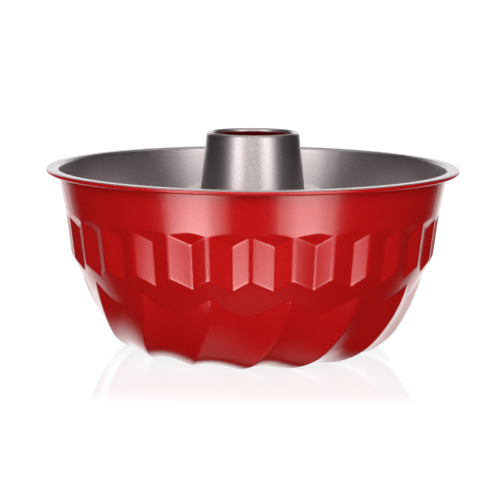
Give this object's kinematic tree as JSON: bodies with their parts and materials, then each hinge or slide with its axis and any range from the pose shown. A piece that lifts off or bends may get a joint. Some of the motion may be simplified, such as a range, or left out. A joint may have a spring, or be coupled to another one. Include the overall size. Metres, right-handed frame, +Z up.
{
  "type": "fluted ring-cake pan",
  "caption": "Round pressed-metal ring-cake pan with a rolled rim, short upright grooves, twisted lobes below and a conical chimney in the middle.",
  "frame": {"origin": "centre of the circle of lobes on which the pan stands, on the table's surface", "axes": "+Z up along the chimney's axis; -Y is the front, where a plain ridge of the short grooves faces; +X is to the right seen from the front"},
  "size_m": [0.22, 0.22, 0.1154],
  "materials": {
    "red_lacquer": "glossy metallic lacquer outside, satin grey non-stick coat inside",
    "grey_nonstick": "satin metallic non-stick coat"
  },
  "bodies": {
    "root": {"bowl": "red_lacquer", "centre_tube": "grey_nonstick"}
  },
  "joints": []
}
